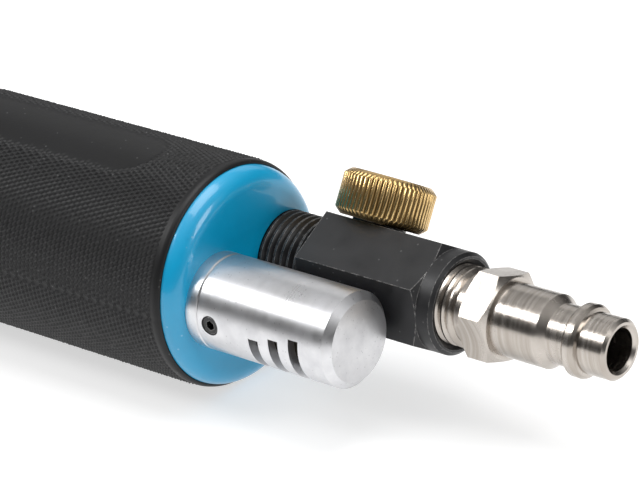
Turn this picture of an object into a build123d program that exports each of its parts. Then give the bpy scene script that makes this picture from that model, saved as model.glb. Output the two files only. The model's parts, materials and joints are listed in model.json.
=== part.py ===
"""A straight, recoil-damped pneumatic riveting hammer, built as separate pieces.

The hammer lies on a flat surface with its axis along X. The origin is on that surface, under the
axis, at the middle of the front bumper. +X points to the air fittings, so the rivet set points to
-X, and +Z is up. All sizes are millimetres. Heights called h are measured from the tool axis.
"""

import os
from math import atan, cos, degrees, radians, sin, sqrt, tan

from build123d import *

os.makedirs("parts", exist_ok=True)

# Driving dimensions
bumper_across = 39.0  # front bumper, across its flats
axis_h = bumper_across / 2  # height of the tool axis above the surface
cap_face_x = 143.0  # rear face of the end cap
grip_r = 19.4
cap_r = 18.5
housing_r = 17.0
housing_bore_r = 15.0
barrel_r = 11.0
piston_bore_r = 7.5
shank_bore_r = 5.1
play = 0.04  # radial clearance of running fits
touch = 0.02  # radial clearance of parts that are fixed in each other

# Air fittings, beside the tool axis
inlet_y = 9.4
inlet_h = 0.4
muffler_y = -8.0
muffler_h = -0.15
body_across = 17.0  # regulator body, across its flats
plug_across = 14.0
plug_tip_x = 211.0
air_r = 3.5  # air passage
neck_r = 7.5
muffler_r = 8.0
muffler_end_x = 172.6
knob_x = 159.7
knob_lean = 33.0  # degrees from vertical
knob_r = 7.8
knob_low = 8.8
knob_high = 16.6
knob_teeth = 57
regulator_r = 4.5

# Throttle, on top of the housing
stem_x = 51.0
pivot_x = 64.0
pivot_h = 25.35
lever_half_width = 6.5
saddle_top_h = 19.6
tube_y = 4.8  # feed and return tubes, either side of the middle
tube_h = 11.9
tube_r = 1.5

# Hammer group, from the barrel's nose to the spring behind the valve chest
nose_x = -39.0
chest_x = 71.0
block_end_x = 83.0
plate_end_x = 85.5
chest_end_x = 97.0
seat_end_x = 99.0
head_front_x = 117.0
head_rear_x = 135.0
chest_screw_ring_r = 9.3
chest_screw_r = 1.25


def beside(y, h):
    """A plane whose local X runs beside the tool axis, so that local Y is a radius."""
    return Plane(origin=(0, y, axis_h + h), x_dir=(1, 0, 0), z_dir=(0, -1, 0))


def radial(x, angle):
    """A plane whose local X points out of the tool axis, at an angle from +Y towards +Z."""
    out = Vector(0, cos(radians(angle)), sin(radians(angle)))
    return Plane(origin=(x, 0, axis_h), x_dir=out, z_dir=out.cross(Vector(1, 0, 0)))


tool = beside(0, 0)
inlet = beside(inlet_y, inlet_h)
muffler = beside(muffler_y, muffler_h)
knob_way = Vector(0, sin(radians(knob_lean)), cos(radians(knob_lean)))
knob = Plane(
    origin=(knob_x, inlet_y, axis_h + inlet_h),
    x_dir=knob_way,
    z_dir=knob_way.cross(Vector(1, 0, 0)),
)
stem = radial(stem_x, 90)
pivot = Plane(origin=(pivot_x, 0, axis_h + pivot_h), x_dir=(0, 1, 0), z_dir=(0, 0, -1))


def turn(points, line, mode=Mode.ADD):
    """Revolves a closed outline of (along, radius) points about a plane's local X."""
    with BuildSketch(line) as outline:
        with BuildLine():
            Polyline(*points, close=True)
        make_face()
    revolve(outline.sketch, axis=Axis(line.origin, line.x_dir), mode=mode)


def ring(start, end, inner, outer):
    """The outline of a plain ring, or of a disc where inner is 0."""
    return [(start, inner), (start, outer), (end, outer), (end, inner)]


def bore(start, end, radius, line):
    """Removes a round hole along a plane's local X."""
    turn(ring(start, end, 0, radius), line, Mode.SUBTRACT)


def o_ring(along, ring_r, cord_r, line):
    """A rubber ring round a plane's local X."""
    with BuildSketch(line) as outline:
        with Locations((along, ring_r)):
            Circle(cord_r)
    revolve(outline.sketch, axis=Axis(line.origin, line.x_dir))


def drill(start, end, radius):
    """Removes a straight round channel between two (x, y, h) points."""
    first = Vector(start[0], start[1], axis_h + start[2])
    last = Vector(end[0], end[1], axis_h + end[2])
    with BuildSketch(Plane(origin=first, z_dir=last - first)) as mouth:
        Circle(radius)
    extrude(mouth.sketch, amount=(last - first).length, mode=Mode.SUBTRACT)


def ridges(start, end, root, crest, pitch):
    """Points over the ridges of a screw thread, from start to end."""
    count = round(abs(end - start) / pitch)
    step = (end - start) / count
    points = []
    for i in range(count):
        left = start + i * step
        points += [(left, root), (left + 0.4 * step, crest), (left + 0.6 * step, crest)]
    return points + [(end, root)]


def hexagon(start, end, across, line, angle):
    """A hexagonal bar along a plane's local X. At angle 0 two of its flats face up and down."""
    with BuildSketch(Plane.YZ.offset(start)) as outline:
        with Locations((line.origin.Y, line.origin.Z)):
            RegularPolygon(across / 2, 6, major_radius=False, rotation=angle)
    extrude(outline.sketch, amount=end - start)


def turn_ends(start, end, across, line, flat_share=1.0):
    """Turns the corners of a hexagon's ends down to a 30 degree cone."""
    corner = across / sqrt(3)
    face_r = flat_share * across / 2
    drop = (corner - face_r) * tan(radians(30))
    profile = [(start, 0), (start, face_r), (start + drop, corner)]
    profile += [(end - drop, corner), (end, face_r), (end, 0)]
    turn(profile, line, Mode.INTERSECT)


def coil(start, end, ring_r, wire_r, turns, line):
    """A round wire wound about a plane's local X."""
    way = 1 if end > start else -1
    centre = line.origin + line.x_dir * start
    with BuildLine() as path:
        Helix(abs(end - start) / turns, abs(end - start), ring_r, centre, line.x_dir * way)
    with BuildSketch(Plane(origin=path.line @ 0, z_dir=path.line % 0)) as wire:
        Circle(wire_r)
    sweep(wire.sketch, path=path.line, is_frenet=True)


def chest_screw_holes(start, end, radius):
    """Four holes for the screws that hold the valve chest to the barrel."""
    with BuildSketch(Plane.YZ.offset(start)) as holes:
        with Locations((0, axis_h)):
            with PolarLocations(chest_screw_ring_r, 4, start_angle=45):
                Circle(radius)
    extrude(holes.sketch, amount=end - start, mode=Mode.SUBTRACT)


def save(piece, name):
    """Labels a finished piece and writes it."""
    piece.part.label = name
    export_step(piece.part, f"parts/{name}.step")


# Rear end: cap, back head and their fasteners

cap_skirt_x = 129.0
cap_round_r = 3.2
stub_r = 6.0

with BuildPart() as end_cap:
    turn(
        [
            (cap_skirt_x, housing_r + touch),
            (cap_skirt_x, cap_r),
            (cap_face_x, cap_r),
            (cap_face_x, 0),
            (head_rear_x, 0),
            (head_rear_x, housing_r + touch),
        ],
        tool,
    )
    face_edges = end_cap.edges().filter_by(GeomType.CIRCLE).group_by(Axis.X)[-1]
    fillet(face_edges.sort_by(SortBy.RADIUS)[-1], cap_round_r)
    bore(head_rear_x - 1, cap_face_x + 1, neck_r, inlet)
    bore(head_rear_x - 1, cap_face_x + 1, stub_r, muffler)
save(end_cap, "end_cap")

head_screw_x = 120.5
head_screw_angles = (0, 210, 330)
head_screw_r = 1.5
seal_x = 127.2
seal_groove_r = 13.3
socket_depth = 4.0
transfer_r = 3.0

with BuildPart() as back_head:
    turn(ring(head_front_x, head_rear_x, 0, housing_bore_r - touch), tool)
    turn(ring(seal_x - 1.2, seal_x + 1.2, seal_groove_r, housing_bore_r + 1), tool, Mode.SUBTRACT)
    bore(124, head_rear_x + 1, air_r, inlet)
    bore(head_front_x - 1, head_rear_x + 1, air_r, muffler)
    bore(head_front_x - 1, head_front_x + 5, transfer_r, tool)
    bore(head_front_x, head_front_x + 8, 2.0, tool)
    for side in (1, -1):
        socket_end = (head_front_x + socket_depth, side * tube_y, tube_h)
        drill((head_front_x - 1, side * tube_y, tube_h), socket_end, tube_r)
    drill((head_front_x + socket_depth, tube_y, tube_h), (126.5, inlet_y, inlet_h), 1.2)
    drill((head_front_x + socket_depth, -tube_y, tube_h), (124, 0, 0), 1.2)
    for angle in head_screw_angles:
        bore(12, housing_bore_r + 1, head_screw_r, radial(head_screw_x, angle))
save(back_head, "back_head")

with BuildPart() as head_seal:
    o_ring(seal_x, (seal_groove_r + housing_bore_r) / 2, 0.83, tool)
save(head_seal, "head_seal")

with BuildPart() as head_screws:
    for angle in head_screw_angles:
        line = radial(head_screw_x, angle)
        turn([(12.1, 0), (12.1, 0.8), (12.8, head_screw_r), (16.7, head_screw_r), (16.7, 0)], line)
        with BuildSketch(Plane(origin=line.origin + line.x_dir * 16.7, z_dir=-line.x_dir)) as key:
            RegularPolygon(0.75, 6, major_radius=False)
        extrude(key.sketch, amount=1.6, mode=Mode.SUBTRACT)
save(head_screws, "head_screws")

# Air inlet: plug, regulator body, screen and rotary regulator

body_rear_x = 180.0
collar_x = 177.0
collar_r = 8.5
hex_front_x = 152.3
plug_thread_r = 6.6

with BuildPart() as inlet_body:
    hexagon(hex_front_x, collar_x, body_across, inlet, 60 - knob_lean)
    turn_ends(hex_front_x - body_across, collar_x, body_across, inlet, 0.985)
    turn(
        [
            (collar_x - 2, 0),
            (collar_x - 2, collar_r),
            (body_rear_x - 0.6, collar_r),
            (body_rear_x, collar_r - 0.6),
            (body_rear_x, 0),
        ],
        inlet,
    )
    neck = [(head_rear_x, 0), (head_rear_x, 6.9), (head_rear_x + 0.6, neck_r - touch)]
    neck += [(cap_face_x - 0.5, neck_r - touch)]
    neck += ridges(cap_face_x - 0.2, hex_front_x - 0.9, 6.75, neck_r - touch, 1.55)
    neck += [(hex_front_x + 1, 6.75), (hex_front_x + 1, 0)]
    turn(neck, inlet)
    bore(head_rear_x - 1, body_rear_x + 1, air_r, inlet)
    bore(167, body_rear_x + 1, plug_thread_r + touch, inlet)
    turn(
        [
            (body_rear_x - 0.9, 0),
            (body_rear_x - 0.9, plug_thread_r),
            (body_rear_x + 0.1, plug_thread_r + 1.0),
            (body_rear_x + 0.1, 0),
        ],
        inlet,
        Mode.SUBTRACT,
    )
    bore(-body_across, body_across, regulator_r + play, knob)
save(inlet_body, "inlet_body")

with BuildPart() as inlet_screen:
    turn(ring(167, 168, 0, plug_thread_r), inlet)
    with BuildSketch(Plane.YZ.offset(166)) as holes:
        with Locations((inlet_y, axis_h + inlet_h)):
            with HexLocations(0.9, 5, 5):
                Circle(0.5)
    extrude(holes.sketch, amount=3, mode=Mode.SUBTRACT)
save(inlet_screen, "inlet_screen")

plug_hex_x = 184.3
plug_hex_end_x = 189.7
plug_turn = 40.5  # degrees that the plug ends up turned by when it is tight

with BuildPart() as hose_plug:
    hexagon(plug_hex_x, plug_hex_end_x, plug_across, inlet, plug_turn)
    turn_ends(plug_hex_x, plug_hex_end_x, plug_across, inlet, 0.96)
    thread = [(169, 0)] + ridges(169, 182.6, 5.9, plug_thread_r, 1.34)
    thread += [(plug_hex_x + 1, 5.9), (plug_hex_x + 1, 0)]
    turn(thread, inlet)
    turn(
        [
            (plug_hex_end_x - 1, 0),
            (plug_hex_end_x - 1, 6.05),
            (198.5, 6.05),
            (199.8, 4.95),
            (203.2, 4.95),
            (203.4, 5.6),
            (203.9, 6.0),
            (205.2, 6.0),
            (205.7, 5.6),
            (205.9, 5.0),
            (plug_tip_x - 0.5, 5.0),
            (plug_tip_x, 4.5),
            (plug_tip_x, 0),
        ],
        inlet,
    )
    bore(168, plug_tip_x + 1, air_r, inlet)
    mouth = [(plug_tip_x - 0.5, 0), (plug_tip_x - 0.5, air_r)]
    mouth += [(plug_tip_x + 0.1, air_r + 0.6), (plug_tip_x + 0.1, 0)]
    turn(mouth, inlet, Mode.SUBTRACT)
save(hose_plug, "hose_plug")

flat_k = body_across / 2
seal_k = 6.2

with BuildPart() as regulator_stem:
    turn(
        [
            (-flat_k + 0.2, 0),
            (-flat_k + 0.2, regulator_r),
            (-seal_k - 0.5, regulator_r),
            (-seal_k - 0.5, 3.6),
            (-seal_k + 0.5, 3.6),
            (-seal_k + 0.5, regulator_r),
            (seal_k - 0.5, regulator_r),
            (seal_k - 0.5, 3.6),
            (seal_k + 0.5, 3.6),
            (seal_k + 0.5, regulator_r),
            (knob_low, regulator_r),
            (knob_low, 3.2),
            (15.0, 3.2),
            (15.0, 0),
        ],
        knob,
    )
    drill((knob_x - 6, inlet_y, inlet_h), (knob_x + 6, inlet_y, inlet_h), 3.0)
    bore(-flat_k, -4.5, 1.2, knob)
save(regulator_stem, "regulator_stem")

with BuildPart() as regulator_seals:
    for along in (-seal_k, seal_k):
        o_ring(along, 4.06, 0.42, knob)
save(regulator_seals, "regulator_seals")

tooth_depth = 0.32
tooth_angle = 360 / knob_teeth
rim_chamfer = 1.1

with BuildPart() as regulator_knob:
    crests = [(knob_r, i * tooth_angle) for i in range(knob_teeth)]
    valleys = [(knob_r - tooth_depth, (i + 0.5) * tooth_angle) for i in range(knob_teeth)]
    around = [point for pair in zip(crests, valleys) for point in pair]
    with BuildSketch(Plane(origin=knob.origin + knob_way * knob_low, z_dir=knob_way)) as toothed:
        with BuildLine():
            Polyline(*[(r * cos(radians(a)), r * sin(radians(a))) for r, a in around], close=True)
        make_face()
    extrude(amount=knob_high - knob_low)
    turn(
        [
            (knob_low, 0),
            (knob_low, knob_r - rim_chamfer),
            (knob_low + rim_chamfer, knob_r),
            (knob_high - rim_chamfer, knob_r),
            (knob_high, knob_r - rim_chamfer),
            (knob_high, 0),
        ],
        knob,
        Mode.INTERSECT,
    )
    bore(knob_low - 1, 15.0, 3.2, knob)
save(regulator_knob, "regulator_knob")

with BuildPart() as regulator_washer:
    turn(ring(-flat_k - 0.8, -flat_k - touch, 1.3, 4.7), knob)
save(regulator_washer, "regulator_washer")

with BuildPart() as regulator_screw:
    head_k = -flat_k - 0.8
    turn([(head_k, 0), (head_k, 2.6), (head_k - 1.4, 2.6), (head_k - 1.9, 2.0), (head_k - 1.9, 0)], knob)
    turn(ring(head_k, -4.6, 0, 1.2), knob)
    with BuildSketch(Plane(origin=knob.origin + knob_way * (head_k - 1.9), z_dir=knob_way)) as key:
        RegularPolygon(1.0, 6, major_radius=False)
    extrude(key.sketch, amount=1.2, mode=Mode.SUBTRACT)
save(regulator_screw, "regulator_screw")

# Exhaust: base, turning muffler sleeve with slots, its screw and the porous element

joint_x = 145.3
muffler_screw_x = 148.1
muffler_screw_r = 1.65
spigot_r = 6.4
slot_width = 2.0
slots = ((157.2, -0.3), (161.4, 0.7), (165.6, 1.7))  # middle along X, height of the upper end

with BuildPart() as muffler_base:
    turn(
        [
            (head_rear_x, air_r),
            (head_rear_x, stub_r - touch),
            (cap_face_x, stub_r - touch),
            (cap_face_x, muffler_r),
            (joint_x - 0.2, muffler_r),
            (joint_x, muffler_r - 0.2),
            (joint_x, spigot_r),
            (muffler_screw_x - muffler_screw_r - 0.2, spigot_r),
            (muffler_screw_x - muffler_screw_r, 5.8),
            (muffler_screw_x + muffler_screw_r, 5.8),
            (muffler_screw_x + muffler_screw_r + 0.2, spigot_r),
            (151.6, spigot_r),
            (151.6, air_r),
        ],
        muffler,
    )
save(muffler_base, "muffler_base")

end_chamfer = 1.2
end_wall_x = muffler_end_x - 2.5

with BuildPart() as muffler_sleeve:
    turn(
        [
            (joint_x + 0.05, spigot_r + play),
            (joint_x + 0.05, muffler_r - 0.2),
            (joint_x + 0.25, muffler_r),
            (muffler_end_x - end_chamfer, muffler_r),
            (muffler_end_x, muffler_r - end_chamfer),
            (muffler_end_x, 0),
            (end_wall_x, 0),
            (end_wall_x, spigot_r + play),
        ],
        muffler,
    )
    for slot_x, top_h in slots:
        with BuildSketch(Plane.XY.offset(axis_h - muffler_r - 1)) as cut:
            with Locations((slot_x, muffler_y)):
                Rectangle(slot_width, 2 * muffler_r + 2)
        extrude(cut.sketch, amount=muffler_r + 1 + top_h, mode=Mode.SUBTRACT)
    screw_hole_end = (muffler_screw_x, muffler_y - 9, muffler_h)
    drill((muffler_screw_x, muffler_y, muffler_h), screw_hole_end, 1.7)
save(muffler_sleeve, "muffler_sleeve")

with BuildPart() as muffler_screw:
    screw_line = Plane(
        origin=(muffler_screw_x, muffler_y, axis_h + muffler_h),
        x_dir=(0, -1, 0),
        z_dir=(0, 0, 1),
    )
    turn([(5.9, 0), (5.9, muffler_screw_r), (7.6, muffler_screw_r), (7.8, 1.45), (7.8, 0)], screw_line)
    with BuildSketch(Plane(origin=screw_line.origin + screw_line.x_dir * 7.8, z_dir=(0, 1, 0))) as key:
        RegularPolygon(0.75, 6, major_radius=False)
    extrude(key.sketch, amount=1.3, mode=Mode.SUBTRACT)
save(muffler_screw, "muffler_screw")

with BuildPart() as silencer_element:
    turn(ring(151.8, end_wall_x - 0.2, 3.4, 5.4), muffler)
save(silencer_element, "silencer_element")

# Housing, its bearings and the grip

housing_front_x = -4.0
clip_x = (-2.6, -1.5)
wiper_x = (-1.4, 1.6)
bushing_end_x = 12.0
buffer_end_x = 14.5
cutout_x = (47.0, 69.0)
saddle_x = (40.0, 75.0)
saddle_screw_x = (43.0, 72.0)
saddle_half_width = 8.5
saddle_screw_r = 1.5

with BuildPart() as housing_tube:
    turn(ring(housing_front_x, head_rear_x, housing_bore_r, housing_r), tool)
    turn(ring(clip_x[0] - 0.05, clip_x[1] + 0.05, 0, housing_bore_r + 0.75), tool, Mode.SUBTRACT)
    with BuildSketch(Plane.XY.offset(axis_h + 10)) as opening:
        with Locations(((cutout_x[0] + cutout_x[1]) / 2, 0)):
            Rectangle(cutout_x[1] - cutout_x[0], 13)
    extrude(opening.sketch, amount=10, mode=Mode.SUBTRACT)
    for x in saddle_screw_x:
        bore(housing_bore_r - 1, housing_r + 1, saddle_screw_r, radial(x, 90))
    for angle in head_screw_angles:
        bore(housing_bore_r - 1, housing_r + 1, head_screw_r, radial(head_screw_x, angle))
save(housing_tube, "housing_tube")

patch_x = (79.0, 127.0)
patch_width = 12.4
patch_y = -1.0
patch_depth = 0.3

with BuildPart() as patch:
    with BuildSketch(Plane.XY.offset(axis_h + 10)) as stadium:
        with Locations(((patch_x[0] + patch_x[1]) / 2, patch_y)):
            SlotOverall(patch_x[1] - patch_x[0], patch_width)
    extrude(stadium.sketch, amount=12)
    turn(ring(patch_x[0], patch_x[1], grip_r - patch_depth, grip_r + 2), tool, Mode.INTERSECT)

with BuildPart() as grip_sleeve:
    turn(
        [
            (6.05, housing_r + touch),
            (6.05, 18.7),
            (6.7, 19.3),
            (10, 19.3),
            (25, 18.3),
            (61, 18.3),
            (78, 18.9),
            (81, grip_r),
            (139.4, grip_r),
            (140, 18.9),
            (140, cap_r + touch),
            (cap_skirt_x - 0.1, cap_r + touch),
            (cap_skirt_x - 0.1, housing_r + touch),
        ],
        tool,
    )
    add(patch.part, mode=Mode.SUBTRACT)
    with BuildSketch(Plane.XY.offset(axis_h + 10)) as opening:
        with Locations(((saddle_x[0] + saddle_x[1]) / 2, 0)):
            Rectangle(saddle_x[1] - saddle_x[0] + 1, 2 * saddle_half_width + 1)
    extrude(opening.sketch, amount=12, mode=Mode.SUBTRACT)
save(grip_sleeve, "grip_sleeve")

bumper_half = 6.0

with BuildPart() as front_bumper:
    hexagon(-bumper_half, bumper_half, bumper_across, tool, 0)
    fillet(front_bumper.edges().filter_by(Axis.X), 3.0)
    turn(
        [
            (-bumper_half, 0),
            (-bumper_half, 18.4),
            (-bumper_half + 2.0, 22.6),
            (bumper_half - 2.0, 22.6),
            (bumper_half, 18.9),
            (bumper_half, 0),
        ],
        tool,
        Mode.INTERSECT,
    )
    bore(housing_front_x - 0.05, bumper_half + 1, housing_r + touch, tool)
    bore(-bumper_half - 1, housing_front_x, 12.5, tool)
save(front_bumper, "front_bumper")

with BuildPart() as front_circlip:
    turn(ring(clip_x[0], clip_x[1], 12.2, housing_bore_r + 0.7), tool)
    with BuildSketch(Plane.YZ.offset(clip_x[0] - 1)) as gap:
        with Locations((0, axis_h - 14)):
            Rectangle(5, 6)
    extrude(gap.sketch, amount=4, mode=Mode.SUBTRACT)
save(front_circlip, "front_circlip")

with BuildPart() as front_wiper:
    turn(
        [
            (wiper_x[0], 11.8),
            (wiper_x[0], housing_bore_r - touch),
            (wiper_x[1], housing_bore_r - touch),
            (wiper_x[1], barrel_r + play),
            (wiper_x[0] + 1, barrel_r + play),
        ],
        tool,
    )
save(front_wiper, "front_wiper")

with BuildPart() as front_bushing:
    turn(ring(wiper_x[1], bushing_end_x, barrel_r + play, housing_bore_r - touch), tool)
save(front_bushing, "front_bushing")

with BuildPart() as buffer_ring:
    turn(ring(bushing_end_x, buffer_end_x, barrel_r + 0.4, housing_bore_r - 0.1), tool)
save(buffer_ring, "buffer_ring")

guide_x = (86.0, 93.0)

with BuildPart() as rear_guide:
    turn(ring(guide_x[0], guide_x[1], barrel_r + play, housing_bore_r - touch), tool)
    for side in (1, -1):
        start = (guide_x[0] - 1, side * tube_y, tube_h)
        drill(start, (guide_x[1] + 1, side * tube_y, tube_h), tube_r + touch)
    with BuildSketch(Plane.YZ.offset(guide_x[0] - 1)) as vents:
        with Locations((0, axis_h)):
            with PolarLocations(12.95, 7, start_angle=160, angular_range=220, endpoint=True):
                Circle(1.3)
    extrude(vents.sketch, amount=guide_x[1] - guide_x[0] + 2, mode=Mode.SUBTRACT)
save(rear_guide, "rear_guide")

with BuildPart() as transfer_tube:
    turn(ring(89, head_front_x + 4.9, 2.0, transfer_r), tool)
save(transfer_tube, "transfer_tube")

tube_start_x = 64.1
tube_end_x = head_front_x + socket_depth
for side, tube_name in ((1, "feed_tube"), (-1, "return_tube")):
    tube_line = Plane(
        origin=(0, side * tube_y, axis_h + tube_h), x_dir=(1, 0, 0), z_dir=(0, -1, 0)
    )
    with BuildPart() as tube:
        turn(ring(tube_start_x, tube_end_x, 0.9, tube_r), tube_line)
    save(tube, tube_name)

# Throttle: saddle body, bush, seat, stem, spring and lever

valve_bore_r = 3.6
stem_r = 1.2
poppet_h = (15.2, 16.18)
seat_h = (16.2, 17.0)
port_h = 18.2
boss_top_h = 22.5
lug_r = 3.4
lug_half_width = 4.9

with BuildPart() as throttle_body:
    with BuildSketch(Plane.XY.offset(axis_h + 13)) as saddle:
        with Locations(((saddle_x[0] + saddle_x[1]) / 2, 0)):
            RectangleRounded(saddle_x[1] - saddle_x[0], 2 * saddle_half_width, 3)
    extrude(saddle.sketch, amount=saddle_top_h - 13)
    bore(saddle_x[0] - 1, saddle_x[1] + 1, housing_r, tool)
    with BuildSketch(Plane.XY.offset(axis_h + 8.5)) as block:
        with Locations(((cutout_x[0] + cutout_x[1]) / 2, 0)):
            Rectangle(cutout_x[1] - cutout_x[0] - 0.1, 12.9)
    extrude(block.sketch, amount=10)
    bore(saddle_x[0] - 1, saddle_x[1] + 1, barrel_r + 0.35, tool)
    turn(ring(saddle_top_h - 1, boss_top_h, 0, 5.0), stem)
    with BuildSketch(tool) as lug:
        with Locations((pivot_x, pivot_h)):
            Circle(lug_r)
        with Locations((pivot_x, (pivot_h + saddle_top_h - 1) / 2)):
            Rectangle(2 * lug_r, pivot_h - saddle_top_h + 1)
    extrude(lug.sketch, amount=lug_half_width, both=True)
    bore(12.4, boss_top_h + 1, valve_bore_r, stem)
    bore(-lug_half_width - 1, lug_half_width + 1, 1.5, pivot)
    for side in (1, -1):
        drill((cutout_x[1] + 1, side * tube_y, tube_h), (64, side * tube_y, tube_h), tube_r)
    drill((64, tube_y, tube_h), (stem_x + 1, 0.3, 14.0), 1.0)
    drill((64.9, -tube_y, tube_h), (64.9, -tube_y, port_h), 0.75)
    drill((65.8, -tube_y - 0.35, port_h), (stem_x, 0, port_h), 0.9)
    with Locations([(x, 0, axis_h + saddle_top_h) for x in saddle_screw_x]):
        CounterSinkHole(saddle_screw_r, 2.6, depth=6)
save(throttle_body, "throttle_body")

with BuildPart() as throttle_screws:
    for x in saddle_screw_x:
        line = radial(x, 90)
        head = [(saddle_top_h - 1.1, saddle_screw_r - touch), (saddle_top_h - touch, 2.55)]
        turn([(15.1, 0), (15.1, saddle_screw_r - touch)] + head + [(saddle_top_h - touch, 0)], line)
        with BuildSketch(Plane.XY.offset(axis_h + saddle_top_h)) as key:
            with Locations((x, 0)):
                RegularPolygon(1.0, 6, major_radius=False)
        extrude(key.sketch, amount=-1.3, mode=Mode.SUBTRACT)
save(throttle_screws, "throttle_screws")

with BuildPart() as throttle_bush:
    turn(
        [
            (seat_h[1], 2.9),
            (seat_h[1], valve_bore_r - touch),
            (boss_top_h, valve_bore_r - touch),
            (boss_top_h, 4.7),
            (boss_top_h + 0.8, 4.7),
            (boss_top_h + 0.8, stem_r + play),
            (19.4, stem_r + play),
            (19.4, 2.9),
        ],
        stem,
    )
    drill((stem_x, 0, port_h), (stem_x + 4.7, -1.66, port_h), 0.9)
save(throttle_bush, "throttle_bush")

with BuildPart() as throttle_seat:
    turn(ring(seat_h[0], seat_h[1], 1.9, valve_bore_r - touch), stem)
save(throttle_seat, "throttle_seat")

with BuildPart() as throttle_stem:
    turn(
        [
            (13.6, 0),
            (13.6, 0.9),
            (poppet_h[0], 0.9),
            (poppet_h[0], 3.0),
            (poppet_h[1], 3.0),
            (poppet_h[1], stem_r),
            (pivot_h - 0.5, stem_r),
            (pivot_h - 0.1, 0.7),
            (pivot_h - 0.05, 0),
        ],
        stem,
    )
save(throttle_stem, "throttle_stem")

with BuildPart() as throttle_spring:
    coil(12.63, poppet_h[0] - 0.23, 2.3, 0.22, 2.5, stem)
save(throttle_spring, "throttle_spring")

lever_thick = 2.0
bend_x = 45.0
lip_x = 6.0
lever_end_x = 2.0
lever_rise = tan(radians(5))
channel_half_width = 5.0
flange_drop = 1.2
lip_h = pivot_h + (bend_x - lip_x) * lever_rise

with BuildPart() as throttle_lever:
    with BuildSketch(tool) as side_view:
        with BuildLine():
            Polyline(
                (pivot_x, pivot_h - lug_r),
                (58, pivot_h - flange_drop),
                (bend_x, pivot_h - flange_drop),
                (lip_x, lip_h - flange_drop),
                (lever_end_x, lip_h + 0.4),
                (lever_end_x, lip_h + 0.4 + lever_thick),
                (lip_x, lip_h + lever_thick),
                (bend_x, pivot_h + lever_thick),
                (58, pivot_h + lever_thick),
                (pivot_x, pivot_h + lug_r),
                close=True,
            )
        make_face()
        with Locations((pivot_x, pivot_h)):
            Circle(lug_r)
    extrude(side_view.sketch, amount=lever_half_width, both=True)
    with BuildSketch(tool) as channel:
        with BuildLine():
            Polyline(
                (pivot_x + 6, 18),
                (pivot_x + 6, pivot_h),
                (bend_x, pivot_h),
                (lip_x + 2, lip_h - 2 * lever_rise),
                (lip_x + 2, 18),
                close=True,
            )
        make_face()
    extrude(channel.sketch, amount=channel_half_width, both=True, mode=Mode.SUBTRACT)
    with BuildSketch(Plane.XY.offset(axis_h + pivot_h - 5)) as fork:
        with Locations((pivot_x + 1, 0)):
            Rectangle(10, 2 * channel_half_width)
    extrude(fork.sketch, amount=10, mode=Mode.SUBTRACT)
    bore(-lever_half_width - 1, lever_half_width + 1, 1.5 + play, pivot)
    tip_edges = throttle_lever.edges().filter_by(Axis.Z).group_by(Axis.X)[0]
    fillet(tip_edges, 3.0)
save(throttle_lever, "throttle_lever")

with BuildPart() as lever_pin:
    head_y = lever_half_width + 0.1
    half = [(head_y, 1.5), (head_y, 2.3), (head_y + 0.5, 2.3), (head_y + 0.7, 2.0), (head_y + 0.7, 0)]
    turn([(-y, r) for y, r in reversed(half)] + half, pivot)
save(lever_pin, "lever_pin")

# Hammer group: barrel, valve chest and springs

with BuildPart() as barrel:
    turn(
        [
            (chest_x, piston_bore_r),
            (chest_x, barrel_r),
            (buffer_end_x + 4, barrel_r),
            (buffer_end_x + 4, 14.0),
            (buffer_end_x, 14.0),
            (buffer_end_x, barrel_r),
            (-12, barrel_r),
            (-12.8, 10.25),
            (nose_x + 1.3, 10.25),
            (nose_x, 9.3),
            (nose_x, shank_bore_r + 0.5),
            (nose_x + 0.5, shank_bore_r),
            (-9, shank_bore_r),
            (-6.5, piston_bore_r),
        ],
        tool,
    )
    for angle in (30, 150, 270):
        bore(piston_bore_r - 1, barrel_r + 1, 1.6, radial(34, angle))
    chest_screw_holes(62, chest_x, chest_screw_r)
save(barrel, "barrel")

shuttle_chamber_r = 8.0

with BuildPart() as valve_block:
    turn(ring(chest_x, block_end_x, 6.0, barrel_r), tool)
    bore(chest_x + 2, block_end_x + 1, shuttle_chamber_r, tool)
    chest_screw_holes(chest_x, block_end_x, chest_screw_r)
    with BuildSketch(Plane.YZ.offset(chest_x)) as ports:
        with Locations((0, axis_h)):
            with PolarLocations(chest_screw_ring_r, 4):
                Circle(0.8)
    extrude(ports.sketch, amount=block_end_x - chest_x, mode=Mode.SUBTRACT)
save(valve_block, "valve_block")

with BuildPart() as valve_shuttle:
    turn(
        [
            (chest_x + 2.1, 5.2),
            (chest_x + 2.1, shuttle_chamber_r - play),
            (chest_x + 5, shuttle_chamber_r - play),
            (chest_x + 5.3, 7.4),
            (chest_x + 7.7, 7.4),
            (chest_x + 8, shuttle_chamber_r - play),
            (chest_x + 10.9, shuttle_chamber_r - play),
            (chest_x + 10.9, 5.2),
        ],
        tool,
    )
save(valve_shuttle, "valve_shuttle")

with BuildPart() as valve_plate:
    turn(ring(block_end_x, plate_end_x, 3.3, barrel_r), tool)
    chest_screw_holes(block_end_x, plate_end_x, chest_screw_r)
save(valve_plate, "valve_plate")

tube_seal_x = 93.4
tube_seal_groove_r = 4.4
screw_head_x = chest_end_x - 2.5

with BuildPart() as valve_cap:
    turn(ring(plate_end_x, chest_end_x, transfer_r + play, barrel_r), tool)
    bore(plate_end_x - 1, plate_end_x + 1.5, 5.0, tool)
    bore(tube_seal_x - 0.8, tube_seal_x + 0.8, tube_seal_groove_r, tool)
    chest_screw_holes(plate_end_x, chest_end_x, chest_screw_r)
    chest_screw_holes(screw_head_x, chest_end_x, 2.25)
    drill((plate_end_x + 0.9, 0, 0), (plate_end_x + 0.9, barrel_r + 1, 0), 0.6)
save(valve_cap, "valve_cap")

with BuildPart() as tube_seal:
    o_ring(tube_seal_x, 3.73, 0.66, tool)
save(tube_seal, "tube_seal")

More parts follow.
